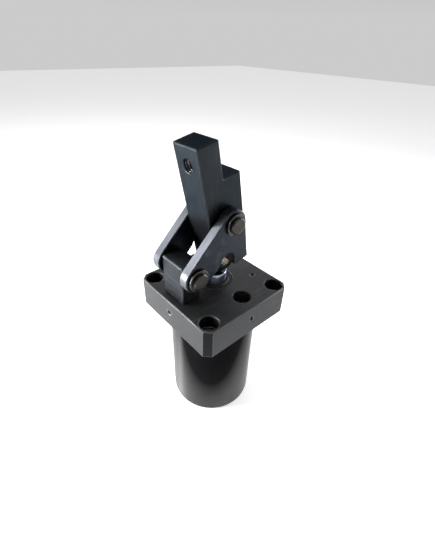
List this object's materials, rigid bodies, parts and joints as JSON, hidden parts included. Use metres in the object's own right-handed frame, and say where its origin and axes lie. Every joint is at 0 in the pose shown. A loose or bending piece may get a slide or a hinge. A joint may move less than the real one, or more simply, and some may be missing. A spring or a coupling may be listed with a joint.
{
  "type": "link clamp cylinder",
  "caption": "Flange-mounted clamp cylinder whose rising rod swings a stepped clamp arm over on a pair of slotted link plates.",
  "frame": {"origin": "centre of the mounting flange's outline, at the height of the cylinder's bottom face", "axes": "+Z along the rod, out of the cylinder; the arm swings over towards -Y; the fluid port is on the +X side; the pivots turn about +X"},
  "size_m": [0.07, 0.07, 0.1978],
  "materials": {
    "black_steel": "black oxide over fine machining, satin",
    "link_steel": "dark blued steel with bright worn edges",
    "tube_steel": "turned, glossy black",
    "chrome": "hard chrome, polished",
    "pin_steel": "hardened and ground, slightly browned",
    "bright_steel": "machined steel",
    "bronze": "turned bearing bronze",
    "rubber": "matt black sealing rubber"
  },
  "bodies": {
    "housing": {"mounting_flange": "black_steel", "fulcrum_block": "black_steel", "block_screw_left": "bright_steel", "block_screw_right": "bright_steel", "top_passage_plug": "black_steel", "side_passage_plug": "black_steel", "front_passage_plug": "black_steel", "cylinder_tube": "tube_steel", "tube_o_ring": "rubber", "end_cap": "bright_steel", "end_cap_o_ring": "rubber", "end_cap_retaining_ring": "bright_steel", "rod_guide": "bronze", "rod_seal": "rubber", "rod_wiper": "rubber", "fulcrum_pin": "pin_steel", "fulcrum_clip_left": "bright_steel", "fulcrum_clip_right": "bright_steel"},
    "rod": {"piston_rod": "chrome", "piston": "bright_steel", "piston_seal": "rubber", "piston_wear_ring": "bronze", "stroke_spacer": "bright_steel", "piston_nut": "bright_steel", "rod_pin": "pin_steel"},
    "clamp_arm": {"clamp_arm": "black_steel"},
    "links": {"link_plate_left": "link_steel", "link_plate_right": "link_steel", "arm_pivot_pin": "pin_steel", "arm_pivot_clip_left": "bright_steel", "arm_pivot_clip_right": "bright_steel"}
  },
  "joints": [
    {"name": "rod_slide", "type": "slide", "parent": "housing", "child": "rod", "axis": [0, 0, 1], "range_m": [0, 0.033]},
    {"name": "arm_swing", "type": "hinge", "parent": "rod", "child": "clamp_arm", "pos_m": [-0.0025, 0.0025, 0.125], "axis": [1, 0, 0], "range_deg": [0, 77.2]},
    {"name": "link_swing", "type": "hinge", "parent": "housing", "child": "links", "pos_m": [-0.0025, -0.0245, 0.1265], "axis": [1, 0, 0], "range_deg": [0, 45.7]}
  ],
  "couplings": [
    {"joint": "arm_swing", "follows": "rod_slide", "rad_per_m": 40.813},
    {"joint": "link_swing", "follows": "rod_slide", "rad_per_m": 24.126}
  ]
}
